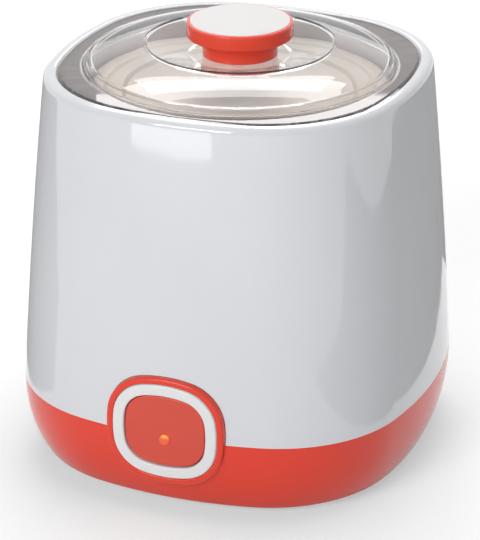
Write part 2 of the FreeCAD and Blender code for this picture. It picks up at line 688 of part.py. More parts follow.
def power_switch():
    """Latching switch body with two blade terminals."""
    body = Part.makeBox(SWITCH_HALF_X * 2, SWITCH_DEPTH, SWITCH_HALF_Z * 2,
                        V(-SWITCH_HALF_X, CARRIER_BACK, PLUNGER_Z - SWITCH_HALF_Z))
    body = body.cut(rod(PLUNGER_RADIUS + SEAT_GAP, SWITCH_BORE, V(0, CARRIER_BACK, PLUNGER_Z), BACKWARD))
    blade_low = PLUNGER_Z - SWITCH_BLADE_THICK / 2
    blades = [Part.makeBox(SWITCH_BLADE, SWITCH_BLADE * 2, SWITCH_BLADE_THICK,
                           V(x - SWITCH_BLADE / 2, SWITCH_BACK - SWITCH_BLADE, blade_low))
              for x in (-SWITCH_HALF_X / 2, SWITCH_HALF_X / 2)]
    return joined([body] + blades)


def pilot_lamp():
    """Small glow lamp that shines into the lens."""
    front = CARRIER_BACK - LAMP_LENGTH
    bulb = rod(LAMP_RADIUS, LAMP_LENGTH, V(0, front, LENS_Z), BACKWARD)
    return rounded(bulb, LAMP_FILLET, facing_at(front))


def cord_gland():
    """Bush with a flange that lines the mains entry in the rear wall."""
    start = V(0, GLAND_BACK - GLAND_LENGTH, GLAND_Z)
    bush = rod(GLAND_RADIUS + GLAND_WALL, GLAND_LENGTH, start, BACKWARD)
    flange = rod(GLAND_FLANGE_RADIUS, GLAND_LENGTH, start, BACKWARD)
    flange = rounded(flange, GLAND_EDGE_FILLET, facing_at(GLAND_BACK))
    bush = joined([bush, flange.cut(base_solid(BASE_UNDERSIDE, 0.0))])
    return bush.cut(rod(GLAND_RADIUS, GLAND_LENGTH, start, BACKWARD))


def terminal_block():
    """Two-way block on the floor of the base for the mains lead."""
    body = block(BLOCK_X, BLOCK_Y, BLOCK_Z, (0, BLOCK_PLACE_Y), BASE_INSIDE)
    for sx in (-1, 1):
        at = V(sx * BLOCK_SCREW_PITCH / 2, BLOCK_PLACE_Y, BASE_INSIDE + BLOCK_Z / 2)
        body = body.cut(rod(BLOCK_SCREW_RADIUS, BLOCK_Z, at))
        body = body.cut(rod(BLOCK_WIRE_RADIUS, BLOCK_Y, at - BACKWARD * (BLOCK_Y / 2), BACKWARD))
    return body


def terminal_screws():
    """Clamp screws of the terminal block."""
    screws = []
    for sx in (-1, 1):
        at = V(sx * BLOCK_SCREW_PITCH / 2, BLOCK_PLACE_Y, BASE_INSIDE + BLOCK_Z / 2 + BLOCK_SCREW_RADIUS)
        screws.append(rod(BLOCK_SCREW_RADIUS - PRESS_FIT, BLOCK_Z / 2 - BLOCK_SCREW_RADIUS, at))
    return Part.makeCompound(screws)


def lead(poles):
    """Round insulated lead along one smooth curve that the poles pull on."""
    path = Part.BezierCurve()
    path.setPoles(poles)
    ring = Part.Wire(Part.makeCircle(LEAD_RADIUS, poles[0], poles[1] - poles[0]))
    return Part.Wire(path.toShape()).makePipe(Part.Face(ring))


def wiring_leads():
    """Five leads: block to switch, switch to thermostat, thermostat to heater, and back by the fuse."""
    right = V(1, 0, 0)
    block = V(BLOCK_SCREW_PITCH / 2, BLOCK_PLACE_Y - BLOCK_Y / 2 - LEAD_GAP, BASE_INSIDE + BLOCK_Z / 2)
    blade = V(SWITCH_HALF_X / 2, SWITCH_BACK + SWITCH_BLADE + LEAD_GAP, PLUNGER_Z)
    body_z = SUPPORT_TOP - SUPPORT_THICK - THERMOSTAT_EAR_THICK - THERMOSTAT_HEIGHT / 2
    side = V(THERMOSTAT_RADIUS + LEAD_GAP, 0, body_z)
    tail_y = HEATER_RADIUS + HEATER_TAIL_REACH - LEAD_RADIUS * 2
    tail = V(HEATER_TAIL_WIDTH / 4, tail_y, HEATER_TOP - HEATER_THICK - LEAD_GAP)
    fuse = V(FUSE_LENGTH / 2 + LEAD_GAP, FUSE_OFFSET, FELT_TOP - FUSE_RADIUS)
    turn = fuse + right * LEAD_TURN
    drop = turn - UP * LEAD_DROP

    def left(point):
        return V(-point.x, point.y, point.z)

    def below(point):
        return point - UP * LEAD_REACH

    def ahead(point):
        return point - BACKWARD * LEAD_REACH

    def behind(point):
        return point + BACKWARD * LEAD_REACH
    return Part.makeCompound([
        lead([left(block), ahead(ahead(left(block))), behind(behind(left(blade))), left(blade)]),
        lead([blade, behind(blade), side + right * LEAD_REACH, side]),
        lead([left(side), left(side) - right * LEAD_REACH, below(left(tail)), left(tail)]),
        lead([left(fuse), left(turn), left(drop), below(below(tail)) - BACKWARD * LEAD_TURN,
              below(tail), tail]),
        lead([fuse, turn, drop, ahead(block), block]),
    ])


def yogurt_container():
    """Lift-out container: a tapered cup with a flat rim."""
    low, top = POT_FOOT_Z, POT_TOP_Z
    cup = turned([(0, low), (POT_FOOT_RADIUS, low), (POT_MOUTH_RADIUS, top), (0, top)])
    cup = rounded(cup, POT_FOOT_FILLET, flat_at(low))
    rim = rod(POT_RIM_RADIUS, POT_RIM_THICK, UP * (top - POT_RIM_THICK))
    hollow = turned([(0, low + POT_WALL), (POT_FOOT_RADIUS - POT_WALL, low + POT_WALL),
                     (POT_MOUTH_RADIUS - POT_WALL, top), (0, top)])
    hollow = rounded(hollow, POT_FOOT_FILLET - POT_WALL, flat_at(low + POT_WALL))
    return joined([cup, rim]).cut(hollow)


def container_lid():
    """Snap lid with a stepped rim round a sunk panel."""
    inner = POT_RIM_RADIUS + SEAT_GAP
    outer = inner + SNAP_WALL
    seat = POT_TOP_Z + SEAT_GAP
    crest = seat + SNAP_BEAD_RISE
    step = crest - SNAP_STEP_SINK
    panel = crest - SNAP_PANEL_SINK
    plug = POT_MOUTH_RADIUS - POT_WALL
    lid = turned([(0, panel - SNAP_WALL), (SNAP_PANEL_RADIUS, panel - SNAP_WALL),
                  (SNAP_PANEL_RADIUS + SNAP_WALL, step - SNAP_WALL), (SNAP_STEP_RADIUS, step - SNAP_WALL),
                  (SNAP_STEP_RADIUS + SNAP_WALL, crest - SNAP_WALL), (plug, crest - SNAP_WALL),
                  (plug, seat), (inner, seat), (inner, seat - SNAP_SKIRT), (outer, seat - SNAP_SKIRT),
                  (outer, crest), (SNAP_STEP_RADIUS + SNAP_WALL, crest), (SNAP_STEP_RADIUS, step),
                  (SNAP_PANEL_RADIUS + SNAP_WALL, step), (SNAP_PANEL_RADIUS, panel), (0, panel)])
    return rounded(lid, SNAP_BEAD_FILLET, flat_at(crest))


def dome_form(inset):
    """Filled round dome from the lid's seat up to the rim of its dish, moved in by inset."""
    foot = STEP_RADIUS - inset
    shoulder = foot - STEP_INSET
    flange_top = SEAT_Z + LID_FLANGE - inset
    step_top = flange_top + STEP_RISE
    ring = DISH_RADIUS + DISH_LIP
    top = DISH_Z - inset
    middle = V((shoulder + ring) / 2, 0, (step_top + top) / 2 + DOME_BULGE)
    corners = [V(0, 0, SEAT_Z), V(foot, 0, SEAT_Z), V(foot, 0, flange_top), V(shoulder, 0, step_top)]
    edges = [Part.makeLine(p, q) for p, q in zip(corners, corners[1:])]
    edges.append(Part.Arc(corners[-1], middle, V(ring, 0, top)).toShape())
    edges.append(Part.makeLine(V(ring, 0, top), V(0, 0, top)))
    edges.append(Part.makeLine(V(0, 0, top), corners[0]))
    dome = Part.Face(Part.Wire(edges)).revolve(V(0, 0, 0), UP, 360)
    return rounded(dome, STEP_TOP_FILLET, circle_at(shoulder, step_top))


def dish_form(lower):
    """Filled bowl of the dish, or the same bowl lowered to its underside."""
    top = DISH_Z - lower
    floor = DISH_FLOOR_Z - lower
    rise = (DISH_Z - DISH_FLOOR_Z) / (DISH_RADIUS - DISH_FOOT_RADIUS)
    mouth = DISH_RADIUS + DISH_LIP
    over = top + rise * DISH_LIP
    bowl = turned([(0, floor), (DISH_FOOT_RADIUS, floor), (mouth, over), (0, over)])
    return rounded(bowl, DISH_FOOT_FILLET, flat_at(floor))


def outer_lid():
    """Clear lid: a flange inside the lip, a stepped round dome and a bowl-shaped dish for the knob."""
    flange = slab(square(LID_HALF, LID_CORNER, LID_SIDE, SEAT_Z), LID_FLANGE)
    flange = rounded(flange, LID_EDGE_FILLET, flat_at(SEAT_Z + LID_FLANGE))
    lid = joined([flange, dome_form(0.0)])
    lid = rounded(lid, STEP_FOOT_FILLET, circle_at(STEP_RADIUS, SEAT_Z + LID_FLANGE))
    keep = rod(DISH_RADIUS + DISH_LIP, DISH_Z - SEAT_Z, UP * SEAT_Z)
    bowl_skin = keep.common(dish_form(LID_WALL)).common(dome_form(0.0))
    lid = joined([lid.cut(dome_form(LID_WALL)), bowl_skin])
    hole = rod(KNOB_SCREW_RADIUS + SCREW_CLEARANCE, LID_WALL, UP * (DISH_FLOOR_Z - LID_WALL))
    return lid.cut(dish_form(0.0)).cut(hole)


def knob_levels():
    """Heights of the knob: foot, underside of its band and top of its band."""
    foot = DISH_FLOOR_Z
    band_low = foot + KNOB_NECK_HEIGHT
    return foot, band_low, band_low + KNOB_BAND


def lid_knob():
    """Coral knob: a stepped neck that flares into a wide band, open at the top for its cap."""
    foot, band_low, top = knob_levels()
    step = foot + KNOB_STEP_HEIGHT
    lower = KNOB_NECK_RADIUS - KNOB_NECK_STEP
    shape = turned([(0, foot), (lower, foot), (lower, step), (KNOB_NECK_RADIUS, step),
                    (KNOB_NECK_RADIUS, band_low - KNOB_FLARE), (KNOB_RADIUS - KNOB_FLARE, band_low),
                    (KNOB_RADIUS, band_low), (KNOB_RADIUS, top), (0, top)])
    shape = rounded(shape, KNOB_BAND_FILLET, flat_at(top))
    shape = rounded(shape, KNOB_BAND_FILLET, circle_at(KNOB_RADIUS, band_low))
    cap_seat = top - KNOB_CAP_THICK
    shape = shape.cut(rod(KNOB_CAP_RADIUS + KNOB_FIT, KNOB_CAP_THICK + 1, UP * cap_seat))
    hollow = turned([(KNOB_BOSS_RADIUS, foot + KNOB_WALL), (KNOB_NECK_RADIUS - KNOB_WALL, foot + KNOB_WALL),
                     (KNOB_NECK_RADIUS - KNOB_WALL, cap_seat), (KNOB_BOSS_RADIUS, cap_seat)])
    shape = shape.cut(hollow)
    return shape.cut(rod(KNOB_SCREW_RADIUS, KNOB_SCREW_LENGTH, UP * foot))


def knob_cap():
    """White crowned disc that clips into the top of the knob."""
    top = knob_levels()[2]
    seat = top - KNOB_CAP_THICK
    edge = top + KNOB_CAP_PROUD
    crown_radius = (KNOB_CAP_RADIUS ** 2 + KNOB_CAP_CROWN ** 2) / (2 * KNOB_CAP_CROWN)
    disc = rod(KNOB_CAP_RADIUS, edge + KNOB_CAP_CROWN - seat, UP * seat)
    return disc.common(Part.makeSphere(crown_radius, UP * (edge + KNOB_CAP_CROWN - crown_radius)))


def knob_washer():
    """Washer under the dish."""
    low = DISH_FLOOR_Z - LID_WALL - KNOB_WASHER_THICK
    ring = rod(KNOB_WASHER_RADIUS, KNOB_WASHER_THICK, UP * low)
    return ring.cut(rod(KNOB_SCREW_RADIUS + SCREW_CLEARANCE, KNOB_WASHER_THICK, UP * low))


def knob_screw():
    """Screw that draws the knob down on the dish."""
    head_low = DISH_FLOOR_Z - LID_WALL - KNOB_WASHER_THICK - KNOB_SCREW_HEAD_THICK
    radius = KNOB_SCREW_RADIUS - PRESS_FIT
    return pan_screw(radius, KNOB_SCREW_LENGTH, KNOB_SCREW_HEAD, KNOB_SCREW_HEAD_THICK, UP * head_low, UP)


PIECES = (
    outer_housing, base_shell, rubber_feet, base_screws, heating_well, heater_foil, insulation_felt,
    heater_support, thermostat, thermal_fuse, fuse_clip, button_ring, power_button, pilot_lens,
    switch_plunger, switch_carrier, carrier_screws, power_switch, pilot_lamp, cord_gland,
    terminal_block, terminal_screws, wiring_leads, yogurt_container, container_lid, outer_lid,
    lid_knob, knob_cap, knob_washer, knob_screw,
)


def main():
    """Build every piece and write it to its own file."""
    os.makedirs("parts", exist_ok=True)
    for make in PIECES:
        shape = make()
        name = make.__name__
        print(name, "valid", shape.isValid(), "solids", len(shape.Solids), "volume", round(shape.Volume, 1))
        shape.exportStep(os.path.join("parts", name + ".step"))


main()
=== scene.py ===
"""Studio picture of a soft-square yogurt maker: finishes, light, floor and camera."""

import logging
import math
from dataclasses import dataclass, field
from enum import Enum

import bpy
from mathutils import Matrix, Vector

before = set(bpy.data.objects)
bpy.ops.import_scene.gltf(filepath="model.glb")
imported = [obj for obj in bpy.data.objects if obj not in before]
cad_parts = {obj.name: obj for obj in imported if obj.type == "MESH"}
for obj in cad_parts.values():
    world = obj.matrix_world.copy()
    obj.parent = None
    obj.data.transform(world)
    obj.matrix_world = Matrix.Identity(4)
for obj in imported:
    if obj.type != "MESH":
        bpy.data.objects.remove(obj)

LOG = logging.getLogger("yogurt_maker")
Colour = tuple[float, float, float]
Point = tuple[float, float, float]

# Places of the colour sockets on a Mix node, where several sockets share one name.
MIX_FIRST = 6
MIX_SECOND = 7
MIX_RESULT = 2


class Axis(Enum):
    """Axis that turning marks run round."""

    UPRIGHT = "Z"
    FORWARD = "Y"


def socket_in(group: bpy.types.ShaderNodeTree, kind: str, name: str, value: object) -> None:
    """Add a named input to a node group.

    Args:
        group: The group that gets the input.
        kind: Socket type without its NodeSocket prefix.
        name: Name of the input.
        value: Its starting value.
    """
    made = group.interface.new_socket(name, in_out="INPUT", socket_type="NodeSocket" + kind)
    made.default_value = value


def socket_out(group: bpy.types.ShaderNodeTree, kind: str, name: str) -> None:
    """Add a named output to a node group.

    Args:
        group: The group that gets the output.
        kind: Socket type without its NodeSocket prefix.
        name: Name of the output.
    """
    group.interface.new_socket(name, in_out="OUTPUT", socket_type="NodeSocket" + kind)


def mix_colours(
    tree: bpy.types.ShaderNodeTree,
    share: bpy.types.NodeSocket,
    first: bpy.types.NodeSocket,
    second: bpy.types.NodeSocket,
) -> bpy.types.NodeSocket:
    """Blend two colours.

    Args:
        tree: Node tree that gets the node.
        share: Share of the second colour.
        first: Colour where the share is 0.
        second: Colour where the share is 1.

    Returns:
        The socket that gives the blend.
    """
    blend = tree.nodes.new("ShaderNodeMix")
    blend.data_type = "RGBA"
    tree.links.new(share, blend.inputs["Factor"])
    tree.links.new(first, blend.inputs[MIX_FIRST])
    tree.links.new(second, blend.inputs[MIX_SECOND])
    return blend.outputs[MIX_RESULT]


class SkinGroup:
    """Shared surface: a slow drift of tone, and a fine pebble that sets gloss and height."""

    NAME = "moulded_skin"
    CLOUD_DETAIL = 4.0
    GRAIN_DETAIL = 3.0
    NOISE_LOW = 0.3
    NOISE_HIGH = 0.7

    @classmethod
    def tree(cls) -> bpy.types.ShaderNodeTree:
        """Return the group, built on first use.

        Returns:
            The node group with outputs Color, Roughness and Height.
        """
        found = bpy.data.node_groups.get(cls.NAME)
        if found:
            return found
        group = bpy.data.node_groups.new(cls.NAME, "ShaderNodeTree")
        socket_in(group, "Color", "Tone", (0.8, 0.8, 0.8, 1.0))
        socket_in(group, "Color", "Shade", (0.7, 0.7, 0.7, 1.0))
        socket_in(group, "Float", "Cloud Scale", 14.0)
        socket_in(group, "Float", "Grain Scale", 900.0)
        socket_in(group, "Float", "Smoothest", 0.15)
        socket_in(group, "Float", "Roughest", 0.25)
        socket_out(group, "Color", "Color")
        socket_out(group, "Float", "Roughness")
        socket_out(group, "Float", "Height")
        nodes, links = group.nodes, group.links
        given = nodes.new("NodeGroupInput")
        result = nodes.new("NodeGroupOutput")
        place = nodes.new("ShaderNodeTexCoord")
        cloud = nodes.new("ShaderNodeTexNoise")
        cloud.inputs["Detail"].default_value = cls.CLOUD_DETAIL
        links.new(place.outputs["Object"], cloud.inputs["Vector"])
        links.new(given.outputs["Cloud Scale"], cloud.inputs["Scale"])
        grain = nodes.new("ShaderNodeTexNoise")
        grain.inputs["Detail"].default_value = cls.GRAIN_DETAIL
        links.new(place.outputs["Object"], grain.inputs["Vector"])
        links.new(given.outputs["Grain Scale"], grain.inputs["Scale"])
        spread = nodes.new("ShaderNodeMapRange")
        spread.inputs["From Min"].default_value = cls.NOISE_LOW
        spread.inputs["From Max"].default_value = cls.NOISE_HIGH
        links.new(cloud.outputs["Fac"], spread.inputs["Value"])
        tint = mix_colours(group, spread.outputs["Result"], given.outputs["Tone"], given.outputs["Shade"])
        links.new(tint, result.inputs["Color"])
        gloss = nodes.new("ShaderNodeMapRange")
        gloss.inputs["From Min"].default_value = cls.NOISE_LOW
        gloss.inputs["From Max"].default_value = cls.NOISE_HIGH
        links.new(grain.outputs["Fac"], gloss.inputs["Value"])
        links.new(given.outputs["Smoothest"], gloss.inputs["To Min"])
        links.new(given.outputs["Roughest"], gloss.inputs["To Max"])
        links.new(gloss.outputs["Result"], result.inputs["Roughness"])
        links.new(grain.outputs["Fac"], result.inputs["Height"])
        return group


class RingGroup:
    """Shared turning marks: fine rings round an upright or forward axis."""

    NAME = "turned_rings"
    DETAIL = 3.0
    DETAIL_SCALE = 2.0

    @classmethod
    def tree(cls, axis: Axis) -> bpy.types.ShaderNodeTree:
        """Return the group for one axis, built on first use.

        Args:
            axis: Axis that the rings run round.

        Returns:
            The node group with output Height.
        """
        name = cls.NAME + "_" + axis.name.lower()
        found = bpy.data.node_groups.get(name)
        if found:
            return found
        group = bpy.data.node_groups.new(name, "ShaderNodeTree")
        socket_in(group, "Float", "Ring Scale", 400.0)
        socket_in(group, "Float", "Unevenness", 3.0)
        socket_out(group, "Float", "Height")
        nodes, links = group.nodes, group.links
        given = nodes.new("NodeGroupInput")
        result = nodes.new("NodeGroupOutput")
        place = nodes.new("ShaderNodeTexCoord")
        wave = nodes.new("ShaderNodeTexWave")
        wave.wave_type = "RINGS"
        wave.rings_direction = axis.value
        wave.inputs["Detail"].default_value = cls.DETAIL
        wave.inputs["Detail Scale"].default_value = cls.DETAIL_SCALE
        links.new(place.outputs["Object"], wave.inputs["Vector"])
        links.new(given.outputs["Ring Scale"], wave.inputs["Scale"])
        links.new(given.outputs["Unevenness"], wave.inputs["Distortion"])
        links.new(wave.outputs["Fac"], result.inputs["Height"])
        return group


class GlowGroup:
    """Painted glow of a lit lens, standing in for the light of the pilot lamp behind it: deep at its foot,
    with a painted highlight paler towards its top, and a little uneven.
    """

    NAME = "lens_painted_glow"
    SPOT_SCALE = 5.0
    CLIMB_START = 0.72
    CLIMB_END = 1.0

    @classmethod
    def tree(cls) -> bpy.types.ShaderNodeTree:
        """Return the group, built on first use.

        Returns:
            The node group with output Color.
        """
        found = bpy.data.node_groups.get(cls.NAME)
        if found:
            return found
        group = bpy.data.node_groups.new(cls.NAME, "ShaderNodeTree")
        socket_in(group, "Color", "Deep", (0.9, 0.1, 0.02, 1.0))
        # Pale is the colour of the painted highlight at the lens's top.
        socket_in(group, "Color", "Pale", (1.0, 0.5, 0.06, 1.0))
        socket_in(group, "Float", "Unevenness", 0.3)
        socket_out(group, "Color", "Color")
        nodes, links = group.nodes, group.links
        given = nodes.new("NodeGroupInput")
        result = nodes.new("NodeGroupOutput")
        place = nodes.new("ShaderNodeTexCoord")
        parts = nodes.new("ShaderNodeSeparateXYZ")
        links.new(place.outputs["Generated"], parts.inputs["Vector"])
        spots = nodes.new("ShaderNodeTexNoise")
        spots.inputs["Scale"].default_value = cls.SPOT_SCALE
        links.new(place.outputs["Generated"], spots.inputs["Vector"])
        sway = nodes.new("ShaderNodeMath")
        sway.operation = "MULTIPLY_ADD"
        links.new(spots.outputs["Fac"], sway.inputs[0])
        links.new(given.outputs["Unevenness"], sway.inputs[1])
        links.new(parts.outputs["Z"], sway.inputs[2])
        climb = nodes.new("ShaderNodeMapRange")
        climb.interpolation_type = "SMOOTHSTEP"
        climb.inputs["From Min"].default_value = cls.CLIMB_START
        climb.inputs["From Max"].default_value = cls.CLIMB_END
        links.new(sway.outputs["Value"], climb.inputs["Value"])
        tint = mix_colours(group, climb.outputs["Result"], given.outputs["Deep"], given.outputs["Pale"])
        links.new(tint, result.inputs["Color"])
        return group


def blank_material(name: str) -> tuple[bpy.types.Material, bpy.types.Node]:
    """Make a node material with only a Principled shader and its output.

    Args:
        name: Name of the material.

    Returns:
        The material and its Principled node.
    """
    material = bpy.data.materials.new(name)
    material.use_nodes = True
    return material, material.node_tree.nodes["Principled BSDF"]


def add_group(
    material: bpy.types.Material, tree: bpy.types.ShaderNodeTree, **values: object
) -> bpy.types.Node:
    """Place a node group in a material.

    Args:
        material: Material that gets the group.
        tree: The group.
        values: Input values by name, with underscores for spaces.

    Returns:
        The group node.
    """
    node = material.node_tree.nodes.new("ShaderNodeGroup")
    node.node_tree = tree
    for key, value in values.items():
        node.inputs[key.replace("_", " ")].default_value = value
    return node


def add_bump(
    material: bpy.types.Material, height: bpy.types.NodeSocket, depth: float, strength: float
) -> None:
    """Feed a height into the shader's normal.

    Args:
        material: Material to change.
        height: Socket that gives the height.
        depth: Depth of the relief in metres.
        strength: Share of the relief that shows.
    """
    tree = material.node_tree
    bump = tree.nodes.new("ShaderNodeBump")
    bump.inputs["Strength"].default_value = strength
    bump.inputs["Distance"].default_value = depth
    tree.links.new(height, bump.inputs["Height"])
    tree.links.new(bump.outputs["Normal"], tree.nodes["Principled BSDF"].inputs["Normal"])


def opaque(colour: Colour) -> tuple[float, float, float, float]:
    """Add full opacity to a colour."""
    return (*colour, 1.0)


@dataclass(frozen=True)
class Moulding:
    """Plastic, rubber, felt or clay, with its own gloss, a faint drift of tone and a fine pebble."""

    name: str
    tone: Colour
    shade: Colour
    smoothest: float
    roughest: float
    coat: float
    grain: float = 3600.0
    relief: float = 0.000004
    strength: float = 0.08
    translucence: float = 0.0
    scatter: Colour = (0.004, 0.003, 0.002)
    coat_roughness: float = 0.04
    ior: float = 1.5

    def make(self) -> bpy.types.Material:
        """Build the material.

        Returns:
            The finished material.
        """
        material, shader = blank_material(self.name)
        links = material.node_tree.links
        skin = add_group(
            material,
            SkinGroup.tree(),
            Tone=opaque(self.tone),
            Shade=opaque(self.shade),
            Grain_Scale=self.grain,
            Smoothest=self.smoothest,
            Roughest=self.roughest,
        )
        links.new(skin.outputs["Color"], shader.inputs["Base Color"])
        links.new(skin.outputs["Roughness"], shader.inputs["Roughness"])
        shader.inputs["Coat Weight"].default_value = self.coat
        shader.inputs["Coat Roughness"].default_value = self.coat_roughness
        shader.inputs["IOR"].default_value = self.ior
        shader.inputs["Subsurface Weight"].default_value = self.translucence
        shader.inputs["Subsurface Radius"].default_value = self.scatter
        shader.inputs["Subsurface Scale"].default_value = 1.0
        add_bump(material, skin.outputs["Height"], self.relief, self.strength)
        return material


@dataclass(frozen=True)
class Clear:
    """See-through moulding with a faint ripple in its surface."""

    name: str
    tone: Colour
    shade: Colour
    ior: float = 1.49
    smoothest: float = 0.0
    roughest: float = 0.03
    ripple: float = 0.00002
    ripple_scale: float = 60.0
    ripple_strength: float = 0.2

    def make(self) -> bpy.types.Material:
        """Build the material.

        Returns:
            The finished material.
        """
        material, shader = blank_material(self.name)
        links = material.node_tree.links
        skin = add_group(
            material,
            SkinGroup.tree(),
            Tone=opaque(self.tone),
            Shade=opaque(self.shade),
            Grain_Scale=self.ripple_scale,
            Smoothest=self.smoothest,
            Roughest=self.roughest,
        )
        links.new(skin.outputs["Color"], shader.inputs["Base Color"])
        links.new(skin.outputs["Roughness"], shader.inputs["Roughness"])
        shader.inputs["Transmission Weight"].default_value = 1.0
        shader.inputs["IOR"].default_value = self.ior
        add_bump(material, skin.outputs["Height"], self.ripple, self.ripple_strength)
        return material


@dataclass(frozen=True)
class LitLens:
    """Amber lens whose painted glow stands in for a lamp glowing behind it, with a painted highlight at its
    top.
    """

    name: str
    deep: Colour
    pale: Colour
    glow: float = 0.28
    roughness: float = 0.12
    coat: float = 0.4

    def make(self) -> bpy.types.Material:
        """Build the material.

        Returns:
            The finished material.
        """
        material, shader = blank_material(self.name)
        links = material.node_tree.links
        glow = add_group(material, GlowGroup.tree(), Deep=opaque(self.deep), Pale=opaque(self.pale))
        links.new(glow.outputs["Color"], shader.inputs["Base Color"])
        # The emission is a painted glow standing in for the pilot lamp's light.
        links.new(glow.outputs["Color"], shader.inputs["Emission Color"])
        shader.inputs["Emission Strength"].default_value = self.glow
        shader.inputs["Roughness"].default_value = self.roughness
        shader.inputs["Coat Weight"].default_value = self.coat
        return material


@dataclass(frozen=True)
class TurnedMetal:
    """Metal with rings left by turning or spinning."""

    name: str
    tone: Colour
    shade: Colour
    axis: Axis = Axis.UPRIGHT
    smoothest: float = 0.24
    roughest: float = 0.40
    clouds: float = 40.0
    rings: float = 900.0
    ring_depth: float = 0.00002
    ring_strength: float = 0.25

    def make(self) -> bpy.types.Material:
        """Build the material.

        Returns:
            The finished material.
        """
        material, shader = blank_material(self.name)
        links = material.node_tree.links
        ring = add_group(material, RingGroup.tree(self.axis), Ring_Scale=self.rings)
        skin = add_group(
            material,
            SkinGroup.tree(),
            Tone=opaque(self.tone),
            Shade=opaque(self.shade),
            Cloud_Scale=self.clouds,
            Smoothest=self.smoothest,
            Roughest=self.roughest,
        )
        links.new(skin.outputs["Color"], shader.inputs["Base Color"])
        links.new(skin.outputs["Roughness"], shader.inputs["Roughness"])
        shader.inputs["Metallic"].default_value = 1.0
        add_bump(material, ring.outputs["Height"], self.ring_depth, self.ring_strength)
        return material


@dataclass
class Piece:
    """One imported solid, the finish it is dressed in, and whether it shades and tints what is near."""

    node: str
    finish: Moulding | Clear | LitLens | TurnedMetal
    casts_shadow: bool = True
    tints_floor: bool = True

    def dress(self, made: dict[str, bpy.types.Material]) -> None:
        """Put the finish on the solid.

        Args:
            made: Materials made so far, by name; grows as new ones are needed.
        """
        if self.finish.name not in made:
            made[self.finish.name] = self.finish.make()
        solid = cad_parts[self.node]
        solid.data.materials.clear()
        solid.data.materials.append(made[self.finish.name])
        solid.visible_shadow = self.casts_shadow
        solid.visible_diffuse = self.tints_floor
        for face in solid.data.polygons:
            face.material_index = 0
        LOG.info("%s dressed in %s", self.node, self.finish.name)


WHITE_SHELL = Moulding(
    "white_shell", (0.83, 0.838, 0.872), (0.805, 0.813, 0.847), smoothest=0.06, roughest=0.085, coat=0.5
)
WHITE_TRIM = Moulding(
    "white_trim", (0.93, 0.935, 0.94), (0.90, 0.905, 0.91), smoothest=0.2, roughest=0.24, coat=0.2
)
CAP_WHITE = Moulding(
    "cap_white", (0.86, 0.835, 0.83), (0.835, 0.81, 0.805), smoothest=0.44, roughest=0.48, coat=0.0
)
CORAL_SHELL = Moulding(
    "coral_shell", (0.93, 0.045, 0.014), (0.89, 0.041, 0.012), smoothest=0.16, roughest=0.20, coat=0.1
)
CORAL_BUTTON = Moulding(
    "coral_button", (0.79, 0.082, 0.050), (0.76, 0.076, 0.046), smoothest=0.28, roughest=0.33, coat=0.05
)
CORAL_KNOB = Moulding(
    "coral_knob", (0.99, 0.070, 0.028), (0.96, 0.064, 0.025), smoothest=0.15, roughest=0.19, coat=0.1
)
CREAM_LID = Moulding(
    "cream_lid",
    (0.54, 0.475, 0.42),
    (0.38, 0.325, 0.28),
    smoothest=0.30,
    roughest=0.40,
    coat=0.15,
    grain=160.0,
    relief=0.00006,
    strength=0.3,
    translucence=0.3,
)
MILKY_CUP = Moulding(
    "milky_cup",
    (0.82, 0.77, 0.70),
    (0.76, 0.70, 0.63),
    smoothest=0.3,
    roughest=0.4,
    coat=0.1,
    grain=400.0,
    relief=0.00002,
    strength=0.2,
    translucence=0.35,
)
# Grey of the heating well: partly its own colour, partly painted shade inside the covered well.
WELL_GREY_AND_PAINTED_SHADE = Moulding(
    "well_grey_and_painted_shade",
    (0.40, 0.355, 0.35),
    (0.37, 0.325, 0.32),
    smoothest=0.36,
    roughest=0.42,
    coat=0.1,
    grain=1800.0,
    relief=0.00001,
    strength=0.1,
)
DARK_CASE = Moulding(
    "dark_case", (0.03, 0.03, 0.034), (0.045, 0.045, 0.05), smoothest=0.4, roughest=0.55, coat=0.0
)
GREY_CASE = Moulding(
    "grey_case", (0.36, 0.36, 0.37), (0.31, 0.31, 0.32), smoothest=0.4, roughest=0.55, coat=0.0
)
NYLON = Moulding("nylon", (0.78, 0.77, 0.73), (0.72, 0.71, 0.67), smoothest=0.35, roughest=0.5, coat=0.0)
HEATER_FILM = Moulding(
    "heater_film", (0.45, 0.20, 0.05), (0.38, 0.15, 0.04), smoothest=0.25, roughest=0.4, coat=0.2
)
SOFT_RUBBER = Moulding(
    "soft_rubber",
    (0.03, 0.03, 0.03),
    (0.045, 0.045, 0.045),
    smoothest=0.6,
    roughest=0.8,
    coat=0.0,
    grain=1600.0,
    relief=0.00003,
    strength=0.4,
)
FELT_PAD = Moulding(
    "felt_pad",
    (0.72, 0.69, 0.62),
    (0.60, 0.57, 0.50),
    smoothest=0.85,
    roughest=1.0,
    coat=0.0,
    grain=700.0,
    relief=0.0004,
    strength=0.8,
)
SLEEVE = Moulding(
    "lead_sleeve",
    (0.66, 0.66, 0.62),
    (0.58, 0.58, 0.54),
    smoothest=0.45,
    roughest=0.6,
    coat=0.0,
    grain=1400.0,
    relief=0.00003,
    strength=0.4,
)
CLAY = Moulding(
    "fuse_clay",
    (0.80, 0.76, 0.68),
    (0.72, 0.68, 0.60),
    smoothest=0.6,
    roughest=0.8,
    coat=0.0,
    grain=1100.0,
    relief=0.00003,
    strength=0.4,
)
CLEAR_LID = Clear("clear_lid", (0.985, 0.98, 0.98), (0.975, 0.97, 0.97))
